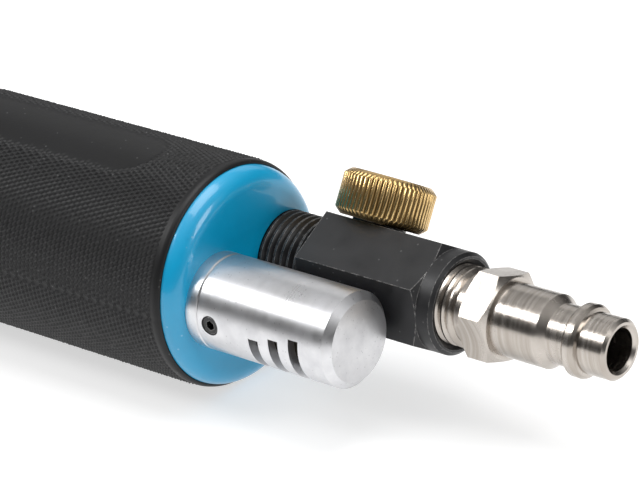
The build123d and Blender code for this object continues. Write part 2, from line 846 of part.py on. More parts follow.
with BuildPart() as chest_screws:
    for angle in (45, 135, 225, 315):
        spot_y = chest_screw_ring_r * cos(radians(angle))
        spot_z = axis_h + chest_screw_ring_r * sin(radians(angle))
        line = Plane(origin=(0, spot_y, spot_z), x_dir=(1, 0, 0), z_dir=(0, -1, 0))
        turn(ring(62.2, screw_head_x, 0, chest_screw_r - touch), line)
        turn(ring(screw_head_x, chest_end_x - 0.1, 0, 2.2), line)
        with BuildSketch(Plane.YZ.offset(chest_end_x)) as key:
            with Locations((spot_y, spot_z)):
                RegularPolygon(1.0, 6, major_radius=False)
        extrude(key.sketch, amount=-1.4, mode=Mode.SUBTRACT)
save(chest_screws, "chest_screws")

with BuildPart() as spring_seat:
    turn(ring(chest_end_x, seat_end_x, 3.6, barrel_r - 0.1), tool)
save(spring_seat, "spring_seat")

with BuildPart() as recoil_spring:
    coil(seat_end_x + 1, head_front_x - 1, 9.0, 1.0, 5, tool)
save(recoil_spring, "recoil_spring")

retainer_r = 11.47
retainer_end_r = 7.0
retainer_wire_r = 1.2
cone_start_x = -46.5
cone_length = 10.5
retainer_pitch = 3.5

with BuildPart() as retainer_spring:
    coil(-15.0, cone_start_x, retainer_r, retainer_wire_r, 9, tool)
    taper = -degrees(atan((retainer_r - retainer_end_r) / cone_length))
    start = tool.origin + Vector(cone_start_x, 0, 0)
    with BuildLine():
        cone = Helix(retainer_pitch, cone_length, retainer_r, start, (-1, 0, 0), taper)
    with BuildSketch(Plane(origin=cone @ 0, z_dir=cone % 0)) as wire:
        Circle(retainer_wire_r)
    sweep(wire.sketch, path=cone, is_frenet=True)
save(retainer_spring, "retainer_spring")

# Piston and rivet set

piston_x = (-6.1, 31.9)

with BuildPart() as piston:
    piston_r = piston_bore_r - play
    turn(
        [
            (piston_x[0], 0),
            (piston_x[0], piston_r - 1),
            (piston_x[0] + 1, piston_r),
            (8, piston_r),
            (8.4, piston_r - 0.6),
            (14.6, piston_r - 0.6),
            (15, piston_r),
            (piston_x[1] - 1, piston_r),
            (piston_x[1], piston_r - 1),
            (piston_x[1], 0),
        ],
        tool,
    )
save(piston, "piston")

set_r = shank_bore_r - play
set_tip_x = -89.0

with BuildPart() as rivet_set:
    turn(
        [
            (-6.2, 0),
            (-6.2, set_r - 0.7),
            (-6.9, set_r),
            (nose_x - 0.2, set_r),
            (nose_x - 0.2, 7.4),
            (nose_x - 0.8, 8.0),
            (nose_x - 4.2, 8.0),
            (nose_x - 4.8, 7.4),
            (nose_x - 4.8, 5.6),
            (-64, 5.6),
            (-74, 4.2),
            (set_tip_x + 0.6, 4.2),
            (set_tip_x, 3.7),
            (set_tip_x, 3.0),
            (set_tip_x + 0.8, 2.5),
            (set_tip_x + 1.5, 1.5),
            (set_tip_x + 1.8, 0),
        ],
        tool,
    )
save(rivet_set, "rivet_set")
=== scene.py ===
# %% [markdown]
# # A straight riveting hammer
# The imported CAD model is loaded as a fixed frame: it says where every piece is and how it moves.
# This notebook gives each piece its finish, and makes again the few pieces whose surface a CAD
# model can't hold, such as the moulded rubber grip and the knurled brass knob. Everything is in
# metres. The hammer lies along X, with its air fittings at +X.

# %% Load the frame
import json
import math

import bmesh
import bpy
from mathutils import Matrix, Vector


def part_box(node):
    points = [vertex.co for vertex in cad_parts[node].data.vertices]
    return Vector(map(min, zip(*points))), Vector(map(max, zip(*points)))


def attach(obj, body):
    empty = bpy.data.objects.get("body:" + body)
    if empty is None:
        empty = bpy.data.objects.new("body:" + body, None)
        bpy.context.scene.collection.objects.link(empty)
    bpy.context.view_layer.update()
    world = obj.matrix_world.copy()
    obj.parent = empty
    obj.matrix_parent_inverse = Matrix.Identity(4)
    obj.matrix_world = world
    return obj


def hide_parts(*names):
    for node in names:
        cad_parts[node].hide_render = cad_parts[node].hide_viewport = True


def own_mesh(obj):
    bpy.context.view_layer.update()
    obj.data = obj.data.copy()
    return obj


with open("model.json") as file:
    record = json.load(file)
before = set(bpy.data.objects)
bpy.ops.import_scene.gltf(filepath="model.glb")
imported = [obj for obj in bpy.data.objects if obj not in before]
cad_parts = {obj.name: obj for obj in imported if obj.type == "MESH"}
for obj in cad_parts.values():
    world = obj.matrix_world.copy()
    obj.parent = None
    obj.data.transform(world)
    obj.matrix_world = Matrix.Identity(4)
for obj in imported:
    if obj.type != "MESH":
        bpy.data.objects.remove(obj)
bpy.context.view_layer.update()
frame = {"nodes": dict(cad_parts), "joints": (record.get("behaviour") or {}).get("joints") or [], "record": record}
nodes = frame["nodes"]
MM = 0.001


def middle(node):
    """The centre of a CAD node's box."""
    low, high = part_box(node)
    return (low + high) / 2


axis_z = middle("housing_tube").z
plug_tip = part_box("hose_plug")[1].x
grip_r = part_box("grip_sleeve")[1].y
print(f"{len(nodes)} nodes, axis {axis_z / MM:.1f} mm up, grip radius {grip_r / MM:.1f} mm")

# %% [markdown]
# The camera looks down on the rear end from the side of the air fittings, through a long lens,
# so that the lines stay nearly parallel. It leans a little, as a hand-held camera does.
# Its place is worked out from a point on the hammer, a direction and a distance.

# %% Camera
aim = Vector((plug_tip - 39.5 * MM, -13.5 * MM, axis_z + 19.9 * MM))
azimuth, elevation, roll = math.radians(42.25), math.radians(26.05), math.radians(5.85)
distance = 0.6058

flat = math.cos(elevation)
away = Vector((flat * math.sin(azimuth), -flat * math.cos(azimuth), math.sin(elevation)))
lens = bpy.data.cameras.new("camera")
lens.lens = 220.5
lens.sensor_width = 36
lens.clip_start = 0.05
camera = bpy.data.objects.new("camera", lens)
bpy.context.scene.collection.objects.link(camera)
camera.location = aim + away * distance
level = away.to_track_quat("Z", "Y").to_matrix()
camera.rotation_euler = (level @ Matrix.Rotation(-roll, 3, "Z")).to_euler()
bpy.context.scene.camera = camera
print(f"camera {distance} m from the aim point")

# %% [markdown]
# A studio for shiny metal is mostly white paper: wide soft lights above and behind make long
# clean highlights, and what is left dark between them draws the dark bands that show a cylinder
# is round. Area lights and a pale world are enough for that.

# %% Floor and lights
bpy.context.scene.view_settings.view_transform = "Standard"
bpy.ops.mesh.primitive_plane_add(size=6, location=(0, 0, 0))
floor = bpy.context.object
floor.name = "floor"
paper = bpy.data.materials.new("paper")
paper.use_nodes = True
card = paper.node_tree.nodes["Principled BSDF"].inputs
card["Base Color"].default_value = (0.55, 0.55, 0.55, 1)
card["Roughness"].default_value = 0.9
card["Emission Color"].default_value = (1, 1, 1, 1)
card["Emission Strength"].default_value = 0.62
floor.data.materials.append(paper)

world = bpy.data.worlds.new("studio")
bpy.context.scene.world = world
world.use_nodes = True
sky = world.node_tree
upward = sky.nodes.new("ShaderNodeSeparateXYZ")
dimmer = sky.nodes.new("ShaderNodeMapRange")
sky.links.new(sky.nodes.new("ShaderNodeTexCoord").outputs["Generated"], upward.inputs[0])
sky.links.new(upward.outputs["Z"], dimmer.inputs["Value"])
dimmer.inputs["From Min"].default_value = 0.35
dimmer.inputs["From Max"].default_value = 0.85
dimmer.inputs["To Min"].default_value = 0.06
dimmer.inputs["To Max"].default_value = 0.55
sky.links.new(dimmer.outputs[0], sky.nodes["Background"].inputs["Strength"])
sky.nodes["Background"].inputs["Color"].default_value = (1, 1, 1, 1)


def softbox(name, way, away_m, size, power):
    """A rectangular area light that faces the fittings, from a direction and a distance."""
    light = bpy.data.lights.new(name, "AREA")
    light.shape = "RECTANGLE"
    light.size, light.size_y = size
    light.energy = power
    obj = bpy.data.objects.new(name, light)
    bpy.context.scene.collection.objects.link(obj)
    out = Vector(way).normalized()
    obj.location = aim + out * away_m
    obj.rotation_euler = out.to_track_quat("Z", "Y").to_euler()


softbox("key_light", way=(-0.60, -0.42, 0.64), away_m=1.0, size=(0.40, 0.20), power=3.4)
softbox("top_light", way=(0.0, 0.1, 1.0), away_m=1.0, size=(0.8, 0.7), power=7.0)
softbox("back_light", way=(-0.45, 0.80, 0.42), away_m=1.1, size=(0.9, 0.5), power=0.9)
softbox("rear_light", way=(1.0, 0.15, 0.45), away_m=1.0, size=(0.35, 0.35), power=2.5)
print("studio lit")

# %% [markdown]
# Node trees are built by small helpers, so that each finish below reads as a list of what it is
# made of. `put` adds one node and fills its sockets with numbers or with other nodes' outputs.

# %% Helpers for node trees
Socket = bpy.types.NodeSocket


def put(tree, kind, sockets=None, **settings):
    """Adds a node. Sockets are named or numbered, and take a value or another node's output."""
    made = tree.nodes.new(kind)
    for name, value in settings.items():
        setattr(made, name, value)
    for key, value in (sockets or {}).items():
        if isinstance(value, Socket):
            tree.links.new(value, made.inputs[key])
        else:
            made.inputs[key].default_value = value
    return made


def calc(tree, operation, *values, clamp=False):
    """The output of a Math node."""
    numbered = dict(enumerate(values))
    return put(tree, "ShaderNodeMath", numbered, operation=operation, use_clamp=clamp).outputs[0]


def ramp(tree, value, low, high, to_low=0.0, to_high=1.0):
    """Maps a value's range from low and high onto another, held at both ends."""
    ranges = {0: value, 1: low, 2: high, 3: to_low, 4: to_high}
    return put(tree, "ShaderNodeMapRange", ranges).outputs[0]


def mix(tree, share, first, second):
    """A colour between two others."""
    sockets = {0: share, 6: first, 7: second}
    return put(tree, "ShaderNodeMix", sockets, data_type="RGBA").outputs[2]


def new_group(name, inputs, outputs):
    """An empty shader group with named inputs and outputs, and its two end nodes."""
    tree = bpy.data.node_groups.new(name, "ShaderNodeTree")
    for label, value in inputs.items():
        socket = tree.interface.new_socket(label, in_out="INPUT", socket_type="NodeSocketFloat")
        socket.default_value = value
    for label in outputs:
        tree.interface.new_socket(label, in_out="OUTPUT", socket_type="NodeSocketFloat")
    return tree, tree.nodes.new("NodeGroupInput").outputs, tree.nodes.new("NodeGroupOutput").inputs


def use(tree, group, **values):
    """Places a shader group in a material with its own values."""
    made = put(tree, "ShaderNodeGroup", node_tree=group)
    for name, value in values.items():
        socket = made.inputs[name.replace("_", " ")]
        if isinstance(value, Socket):
            tree.links.new(value, socket)
        else:
            socket.default_value = value
    return made.outputs


def noise(tree, vector, scale, detail=3.0, roughness=0.55):
    """The value of a noise texture."""
    sockets = {"Vector": vector, "Scale": scale, "Detail": detail, "Roughness": roughness}
    return put(tree, "ShaderNodeTexNoise", sockets).outputs[0]


print("helpers ready")

# %% [markdown]
# Four effects are shared by nearly every finish here. Worn edges: handling rubs plating and oxide
# off sharp edges first. Specks: dust and pits. Blotches: slow changes of tone. Turning marks: the
# fine grooves that a lathe leaves round an axis. Each one is a group with named inputs, so that a
# material places it with its own sizes, and it gives out a mask from 0 to 1.

# %% Worn edges
sizes = {"Width": 0.0004, "Grain": 900.0, "Amount": 1.0}
worn_edges, ins, outs = new_group("worn_edges", sizes, ["Mask"])
round_normal = put(worn_edges, "ShaderNodeBevel", {"Radius": ins["Width"]}, samples=6).outputs[0]
flat_normal = put(worn_edges, "ShaderNodeNewGeometry").outputs["Normal"]
normals = {0: round_normal, 1: flat_normal}
alike = put(worn_edges, "ShaderNodeVectorMath", normals, operation="DOT_PRODUCT")
edge = ramp(worn_edges, alike.outputs["Value"], 0.995, 0.93)
place = put(worn_edges, "ShaderNodeTexCoord").outputs["Object"]
patchy = ramp(worn_edges, noise(worn_edges, place, ins["Grain"]), 0.35, 0.6)
patchy_edge = calc(worn_edges, "MULTIPLY", edge, patchy)
worn = calc(worn_edges, "MULTIPLY", patchy_edge, ins["Amount"], clamp=True)
worn_edges.links.new(worn, outs["Mask"])
print(f"worn_edges: {len(worn_edges.nodes)} nodes")

# %% Specks
specks, ins, outs = new_group("specks", {"Size": 0.0003, "Share": 0.1}, ["Mask"])
place = put(specks, "ShaderNodeTexCoord").outputs["Object"]
fineness = calc(specks, "DIVIDE", 1.0, ins["Size"])
cells = put(specks, "ShaderNodeTexVoronoi", {"Vector": place, "Scale": fineness})
lot = put(specks, "ShaderNodeSeparateColor", {0: cells.outputs["Color"]}).outputs[0]
chosen = calc(specks, "LESS_THAN", lot, ins["Share"])
dot = ramp(specks, cells.outputs["Distance"], 0.30, 0.15)
specks.links.new(calc(specks, "MULTIPLY", chosen, dot), outs["Mask"])
print(f"specks: {len(specks.nodes)} nodes")

# %% Blotches
blotches, ins, outs = new_group("blotches", {"Size": 0.006, "Sharpness": 0.5}, ["Mask"])
place = put(blotches, "ShaderNodeTexCoord").outputs["Object"]
cloud = noise(blotches, place, calc(blotches, "DIVIDE", 1.0, ins["Size"]), 5.0, 0.6)
half = calc(blotches, "MULTIPLY", calc(blotches, "SUBTRACT", 1.0, ins["Sharpness"]), 0.3)
low_end = calc(blotches, "SUBTRACT", 0.5, half)
high_end = calc(blotches, "ADD", 0.501, half)
blotches.links.new(ramp(blotches, cloud, low_end, high_end), outs["Mask"])
print(f"blotches: {len(blotches.nodes)} nodes")

# %% Turning marks
turning, ins, outs = new_group(
    "turning_marks", {"Axis Y": 0.0, "Axis Z": 0.0195, "Spacing": 0.0002}, ["Marks", "Fine"]
)
place = put(turning, "ShaderNodeTexCoord").outputs["Object"]
xyz = put(turning, "ShaderNodeSeparateXYZ", {0: place}).outputs
dy = calc(turning, "SUBTRACT", xyz["Y"], ins["Axis Y"])
dz = calc(turning, "SUBTRACT", xyz["Z"], ins["Axis Z"])
squares = calc(turning, "MULTIPLY", dy, dy), calc(turning, "MULTIPLY", dz, dz)
radius = calc(turning, "SQRT", calc(turning, "ADD", *squares))
along = calc(turning, "ADD", xyz["X"], radius)
turn_angle = calc(turning, "MULTIPLY", calc(turning, "ARCTAN2", dy, dz), 0.0002)
line = put(turning, "ShaderNodeCombineXYZ", {0: along, 1: turn_angle}).outputs[0]
per_metre = calc(turning, "DIVIDE", 1.0, ins["Spacing"])
coarse = calc(turning, "MULTIPLY", per_metre, 0.25)
turning.links.new(noise(turning, line, coarse, 2.0), outs["Marks"])
turning.links.new(noise(turning, line, per_metre, 3.0, 0.7), outs["Fine"])
print([g.name for g in bpy.data.node_groups])

# %% [markdown]
# A finish is a material whose own sockets hold what is the same all over, and whose linked
# sockets hold what changes. `finish` makes the material, and `relief` turns a height into the
# small bumps that break up a highlight.


# %% Helpers for finishes
def finish(name, colour, metallic, roughness, **constants):
    """A new material, its tree and its Principled shader."""
    material = bpy.data.materials.new(name)
    material.use_nodes = True
    shader = material.node_tree.nodes["Principled BSDF"]
    shader.inputs["Base Color"].default_value = (*colour, 1)
    shader.inputs["Metallic"].default_value = metallic
    shader.inputs["Roughness"].default_value = roughness
    for label, value in constants.items():
        shader.inputs[label.replace("_", " ")].default_value = value
    return material, material.node_tree, shader.inputs


def relief(tree, shader, height, depth, strength=1.0):
    """Bumps from a height from 0 to 1, of a depth in metres."""
    bump = put(tree, "ShaderNodeBump", {"Height": height, "Distance": depth, "Strength": strength})
    tree.links.new(bump.outputs[0], shader["Normal"])


def wear(node, material):
    """Gives a CAD node or a piece its one material."""
    mesh = (nodes[node] if isinstance(node, str) else node).data
    mesh.materials.clear()
    mesh.materials.append(material)


# %% [markdown]
# ## Turned aluminium
# The muffler and its base are turned from bar. Real ones are satin, with faint rings, grey
# blotches where fingers and oil have been, and tiny pits, and their end face is rougher than the
# side, because the tool moved across it. Here the end face and the side share one finish.


# %% Turned aluminium
def aluminium(name, axis_y, spacing=0.00016):
    material, tree, shader = finish(name, (0.80, 0.80, 0.81), 1.0, 0.3)
    marks = use(tree, turning, Axis_Y=axis_y, Axis_Z=axis_z, Spacing=spacing)
    cloud = use(tree, blotches, Size=0.005, Sharpness=0.1)["Mask"]
    pits = use(tree, specks, Size=0.0005, Share=0.10)["Mask"]
    rings = calc(tree, "MULTIPLY", marks["Marks"], 0.10)
    dull = calc(tree, "ADD", ramp(tree, cloud, 0, 1, 0.20, 0.36), rings)
    tree.links.new(dull, shader["Roughness"])
    tone = mix(tree, cloud, (0.76, 0.76, 0.77, 1), (0.56, 0.56, 0.58, 1))
    pitted = mix(tree, calc(tree, "MULTIPLY", pits, 0.6), tone, (0.33, 0.33, 0.34, 1))
    tree.links.new(pitted, shader["Base Color"])
    relief(tree, shader, marks["Fine"], 0.000006)
    return material


muffler_y = middle("muffler_sleeve").y
muffler_aluminium = aluminium("turned_aluminium_muffler", muffler_y)
housing_aluminium = aluminium("turned_aluminium_housing", 0.0)
for node in ("muffler_sleeve", "muffler_base"):
    wear(node, muffler_aluminium)
for node in ("housing_tube", "back_head", "throttle_body"):
    wear(node, housing_aluminium)
print(f"muffler axis at y {muffler_y / MM:.1f} mm")

# %% [markdown]
# ## Nickel plate
# The hose plug is steel with a nickel plate, warmer than chrome. The lathe's marks show through
# the plate as fine streaks. On a real plug the edges of the hexagon are a little brighter; here
# they take the same plate as the rest.


# %% Nickel plate
def nickel():
    material, tree, shader = finish("nickel_plate", (0.66, 0.61, 0.55), 1.0, 0.2)
    marks = use(tree, turning, Axis_Y=middle("hose_plug").y, Axis_Z=axis_z, Spacing=0.00022)
    cloud = use(tree, blotches, Size=0.004, Sharpness=0.2)["Mask"]
    streak = ramp(tree, marks["Marks"], 0.35, 0.65)
    plate = mix(tree, streak, (0.40, 0.36, 0.32, 1), (0.53, 0.49, 0.45, 1))
    tree.links.new(plate, shader["Base Color"])
    scratched = calc(tree, "MULTIPLY", streak, 0.06)
    dull = calc(tree, "ADD", ramp(tree, cloud, 0, 1, 0.14, 0.28), scratched)
    tree.links.new(dull, shader["Roughness"])
    relief(tree, shader, marks["Fine"], 0.000008)
    return material


wear("hose_plug", nickel())
print(f"plug axis at y {middle('hose_plug').y / MM:.1f} mm")

# %% [markdown]
# ## Black oxide
# Oxide is a thin black skin on steel. It has almost no colour, holds dust, and wears through to
# bright metal along the edges, which is what makes the hexagon readable.


# %% Black oxide
def black_oxide(name, axis_y):
    material, tree, shader = finish(name, (0.012, 0.012, 0.013), 0.0, 0.42)
    bare = use(tree, worn_edges, Width=0.00022, Grain=1300.0, Amount=1.0)["Mask"]
    dust = use(tree, specks, Size=0.0007, Share=0.05)["Mask"]
    cloud = use(tree, blotches, Size=0.004, Sharpness=0.0)["Mask"]
    skin = mix(tree, cloud, (0.003, 0.003, 0.004, 1), (0.008, 0.008, 0.009, 1))
    dusty = mix(tree, calc(tree, "MULTIPLY", dust, 0.25), skin, (0.25, 0.25, 0.25, 1))
    edge_wear_and_crest_highlight = mix(tree, calc(tree, "MULTIPLY", bare, 0.75), dusty, (0.42, 0.41, 0.40, 1))
    tree.links.new(edge_wear_and_crest_highlight, shader["Base Color"])
    tree.links.new(calc(tree, "MULTIPLY", bare, 0.9), shader["Metallic"])
    tree.links.new(ramp(tree, cloud, 0, 1, 0.34, 0.5), shader["Roughness"])
    marks = use(tree, turning, Axis_Y=axis_y, Axis_Z=axis_z, Spacing=0.0002)
    relief(tree, shader, marks["Fine"], 0.000004)
    return material


wear("inlet_body", black_oxide("black_oxide_inlet", middle("inlet_body").y))
dark = black_oxide("black_oxide_fasteners", 0.0)
screws = ("head_screws", "muffler_screw", "regulator_screw", "throttle_screws", "chest_screws")
for node in ("throttle_lever", "front_circlip", *screws):
    wear(node, dark)
print(f"{len(screws) + 2} nodes wear black oxide")

# %% [markdown]
# ## Blue enamel
# The end cap is coated in a thick glossy cyan-blue that rounds its rim. A clear coat over a
# slightly uneven base gives the long clean highlights, with a little dust on the face.


# %% Blue enamel
def blue(name, colour, deep, roughness):
    material, tree, shader = finish(name, colour, 0.0, roughness, Coat_Roughness=0.06)
    shader["Coat Weight"].default_value = 0.6
    cloud = use(tree, blotches, Size=0.009, Sharpness=0.0)["Mask"]
    dust = use(tree, specks, Size=0.0008, Share=0.03)["Mask"]
    tone = mix(tree, cloud, (*colour, 1), (*deep, 1))
    dusty = mix(tree, calc(tree, "MULTIPLY", dust, 0.35), tone, (0.35, 0.6, 0.75, 1))
    tree.links.new(dusty, shader["Base Color"])
    place = put(tree, "ShaderNodeTexCoord").outputs["Object"]
    relief(tree, shader, noise(tree, place, 260.0, 1.0), 0.00006, 0.5)
    return material


wear("end_cap", blue("blue_enamel", (0.0, 0.36, 0.64), (0.0, 0.31, 0.57), 0.34))
wear("front_bumper", blue("blue_bumper", (0.0, 0.27, 0.47), (0.0, 0.22, 0.40), 0.42))
print("the end cap and the bumper are blue")

# %% [markdown]
# ## Steel, bronze, rubber and plastic
# The working parts are ground or turned steel, the bearings bronze, the seals black rubber, and
# the rings that slide on air are natural acetal. They use the same groups with quieter values.


# %% Plain working finishes
def worked_metal(name, light, shade, roughness, spacing=0.00025, axis_y=0.0):
    material, tree, shader = finish(name, light, 1.0, roughness)
    marks = use(tree, turning, Axis_Y=axis_y, Axis_Z=axis_z, Spacing=spacing)
    cloud = use(tree, blotches, Size=0.006, Sharpness=0.1)["Mask"]
    tree.links.new(mix(tree, cloud, (*light, 1), (*shade, 1)), shader["Base Color"])
    dull = ramp(tree, marks["Marks"], 0.3, 0.7, roughness - 0.08, roughness + 0.1)
    tree.links.new(dull, shader["Roughness"])
    relief(tree, shader, marks["Fine"], 0.000006)
    return material


def moulded(name, light, shade, roughness, grain=1800.0):
    material, tree, shader = finish(name, light, 0.0, roughness)
    cloud = use(tree, blotches, Size=0.004, Sharpness=0.0)["Mask"]
    tree.links.new(mix(tree, cloud, (*light, 1), (*shade, 1)), shader["Base Color"])
    tree.links.new(ramp(tree, cloud, 0, 1, roughness - 0.06, roughness + 0.08), shader["Roughness"])
    place = put(tree, "ShaderNodeTexCoord").outputs["Object"]
    relief(tree, shader, noise(tree, place, grain), 0.00002, 0.6)
    return material


steel = worked_metal("machined_steel", (0.56, 0.56, 0.57), (0.46, 0.46, 0.48), 0.3)
wire_steel = worked_metal("spring_wire", (0.36, 0.36, 0.38), (0.24, 0.24, 0.26), 0.34)
bronze = worked_metal("bearing_bronze", (0.62, 0.42, 0.22), (0.48, 0.32, 0.17), 0.34)
sinter = moulded("sintered_bronze", (0.07, 0.055, 0.04), (0.035, 0.028, 0.02), 0.8, 2600.0)
rubber = moulded("nitrile_rubber", (0.018, 0.018, 0.019), (0.026, 0.026, 0.027), 0.55)
acetal = moulded("natural_acetal", (0.82, 0.82, 0.78), (0.74, 0.74, 0.69), 0.4)

by_slot = {
    "steel": steel,
    "spring_steel": wire_steel,
    "bronze": bronze,
    "sinter": sinter,
    "seal_rubber": rubber,
    "acetal": acetal,
}
for part in frame["record"]["subparts"]:
    if part["material_slot"] in by_slot:
        wear(part["node"], by_slot[part["material_slot"]])

# %% [markdown]
# ## The rubber grip
# The grip is one thick moulded rubber sleeve. Its skin is a field of small raised diamonds, with
# a smooth flat patch left for a plate, a smooth lip at the rear, and a parting line on each side
# where the mould closed. Thousands of equal bumps that follow a surface are a job for Geometry
# Nodes: a grid is wrapped round the axis, and in every second row every second point is raised,
# staggered from one raised row to the next, so that each raised point and its eight neighbours
# make one bump. The bumps are real, so they break the outline.

# %% Helpers for Geometry Nodes
def inputs_of(tree, sizes):
    """Gives a Geometry Nodes tree its named inputs, and finds the inputs and the end node."""
    tree.interface.new_socket("Geometry", in_out="OUTPUT", socket_type="NodeSocketGeometry")
    kinds = {int: "NodeSocketInt", float: "NodeSocketFloat"}
    found = {}
    for label, value in sizes.items():
        kind = kinds.get(type(value), "NodeSocketMaterial")
        socket = tree.interface.new_socket(label, in_out="INPUT", socket_type=kind)
        found[label] = socket.identifier
    sockets = tree.nodes.new("NodeGroupInput").outputs
    return sockets, tree.nodes.new("NodeGroupOutput").inputs[0], found


def grow(name, tree, found, sizes):
    """Runs a tree once with its sizes and keeps the plain mesh that it makes."""
    piece = bpy.data.objects.new(name, bpy.data.meshes.new(name))
    bpy.context.scene.collection.objects.link(piece)
    modifier = piece.modifiers.new("grow", "NODES")
    modifier.node_group = tree
    for label, value in sizes.items():
        modifier[found[label]] = value
    ready = piece.evaluated_get(bpy.context.evaluated_depsgraph_get())
    mesh = bpy.data.meshes.new_from_object(ready)
    piece.modifiers.remove(modifier)
    piece.data = mesh
    mesh.name = name
    if volume(piece) < 0:
        mesh.flip_normals()
    print(f"{name}: {len(mesh.polygons)} faces, {volume(piece) / MM**3:.0f} cubic mm")
    return piece


def smooth(tree, value, low, high, to_low=0.0, to_high=1.0):
    """Like ramp, with soft ends."""
    ranges = {0: value, 1: low, 2: high, 3: to_low, 4: to_high}
    return put(tree, "ShaderNodeMapRange", ranges, interpolation_type="SMOOTHSTEP").outputs[0]


def choose(tree, index, values):
    """One of several numbers or fields, by its place in a list."""
    node = put(tree, "GeometryNodeIndexSwitch", data_type="FLOAT")
    while len(node.index_switch_items) < len(values):
        node.index_switch_items.new()
    tree.links.new(index, node.inputs["Index"])
    for place, value in enumerate(values):
        if isinstance(value, Socket):
            tree.links.new(value, node.inputs[place + 1])
        else:
            node.inputs[place + 1].default_value = value
    return node.outputs[0]


def end_tree(tree, geometry, material, result):
    """Ends a tree in real geometry with its material."""
    plain = put(tree, "GeometryNodeRealizeInstances", {0: geometry}).outputs[0]
    coated = put(tree, "GeometryNodeSetMaterial", {"Geometry": plain, "Material": material})
    tree.links.new(coated.outputs[0], result)


def volume(piece):
    """The volume that a piece's faces enclose, below zero where they point inwards."""
    mesh = bmesh.new()
    mesh.from_mesh(piece.data)
    amount = mesh.calc_volume(signed=True)
    mesh.free()
    return amount


print("ready to grow")

# %% [markdown]
# The sleeve's section is followed all the way round: over the outside in fine rows, then five
# more rows take it round the rear edge, in to the bore and back to where it began, so the rubber
# has a real thickness. The last row lands on the first and is merged with it.

# %% Moulded grip rubber
grip_rubber, tree, shader = finish("grip_rubber", (0.016, 0.016, 0.017), 0.0, 0.5)
shader["Specular IOR Level"].default_value = 0.35
crest = put(tree, "ShaderNodeAttribute", attribute_name="crest").outputs["Fac"]
dust = use(tree, specks, Size=0.0006, Share=0.035)["Mask"]
cloud = use(tree, blotches, Size=0.012, Sharpness=0.0)["Mask"]
skin = mix(tree, cloud, (0.003, 0.003, 0.003, 1), (0.005, 0.005, 0.006, 1))
# The raised bump tops are painted lighter: a painted highlight on the crests of the diamonds.
edge_wear_and_crest_highlight = mix(tree, calc(tree, "MULTIPLY", crest, 0.8), skin, (0.026, 0.026, 0.027, 1))
dusted = mix(tree, calc(tree, "MULTIPLY", dust, 0.3), edge_wear_and_crest_highlight, (0.30, 0.30, 0.30, 1))
tree.links.new(dusted, shader["Base Color"])
tree.links.new(ramp(tree, crest, 0.0, 1.0, 0.46, 0.6), shader["Roughness"])
place = put(tree, "ShaderNodeTexCoord").outputs["Object"]
relief(tree, shader, noise(tree, place, 2600.0), 0.00003, 0.5)
print(f"grip_rubber: {len(tree.nodes)} nodes")

# %% The sleeve's tree
sleeve_sizes = {
    "Front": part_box("grip_sleeve")[0].x,
    "Rear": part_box("grip_sleeve")[1].x,
    "Radius": grip_r,
    "Bore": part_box("housing_tube")[1].y + 0.02 * MM,
    "Cap Radius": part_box("end_cap")[1].y + 0.02 * MM,
    "Cap Front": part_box("end_cap")[0].x - 0.1 * MM,
    "Axis Height": axis_z,
    "Bump": 0.30 * MM,
    "Lip": 1.9 * MM,
    "Patch Middle": -1.0 * MM,
    "Patch Width": 12.8 * MM,
    "Patch Start": 79.0 * MM,
    "Patch End": 127.0 * MM,
    "Patch Depth": 0.18 * MM,
    "Along": 290,
    "Around": 264,
    "Material": grip_rubber,
}
sleeve_tree = bpy.data.node_groups.new("diamond_sleeve", "GeometryNodeTree")
size, result, found = inputs_of(sleeve_tree, sleeve_sizes)
t = sleeve_tree

rows = calc(t, "ADD", size["Along"], 6.0)
columns = calc(t, "ADD", size["Around"], 1.0)
grid = put(t, "GeometryNodeMeshGrid", {0: 1.0, 1: 1.0, 2: rows, 3: columns}).outputs[0]
index = put(t, "GeometryNodeInputIndex").outputs[0]
true_row = calc(t, "FLOOR", calc(t, "DIVIDE", calc(t, "ADD", index, 0.5), columns))
column = calc(t, "SUBTRACT", index, calc(t, "MULTIPLY", true_row, columns))
row = calc(t, "MODULO", true_row, calc(t, "ADD", size["Along"], 5.0))
share = calc(t, "DIVIDE", row, size["Along"], clamp=True)
x = ramp(t, share, 0.0, 1.0, size["Front"], size["Rear"])
angle = calc(t, "MULTIPLY", calc(t, "DIVIDE", column, size["Around"]), math.tau)
sine, cosine = calc(t, "SINE", angle), calc(t, "COSINE", angle)

# The waist that the hand closes round, and the rounded ends. Each is where along X it starts
# and ends, and how much of the radius it changes before and after
waist_run = (10 * MM, 25 * MM, 0.1 * MM, 1.1 * MM)
belly_run = (61 * MM, 78 * MM, 0.0, 0.6 * MM)
shoulder_run = (77 * MM, 81 * MM, 0.0, 0.5 * MM)
waist = smooth(t, x, *waist_run)
belly = smooth(t, x, *belly_run)
shoulder = smooth(t, x, *shoulder_run)
from_rear = calc(t, "SUBTRACT", size["Rear"], x)
from_front = calc(t, "SUBTRACT", x, size["Front"])
near_rear = ramp(t, from_rear, 0.0, 0.9 * MM, 1.0, 0.0)
rear_round = calc(t, "MULTIPLY", calc(t, "POWER", near_rear, 2.0), 0.5 * MM)
front_round = ramp(t, from_front, 0.0, 0.7 * MM, 0.6 * MM, 0.0)
taken = calc(t, "ADD", calc(t, "ADD", waist, rear_round), front_round)
given = calc(t, "ADD", belly, shoulder)
body_r = calc(t, "ADD", calc(t, "SUBTRACT", size["Radius"], taken), given)

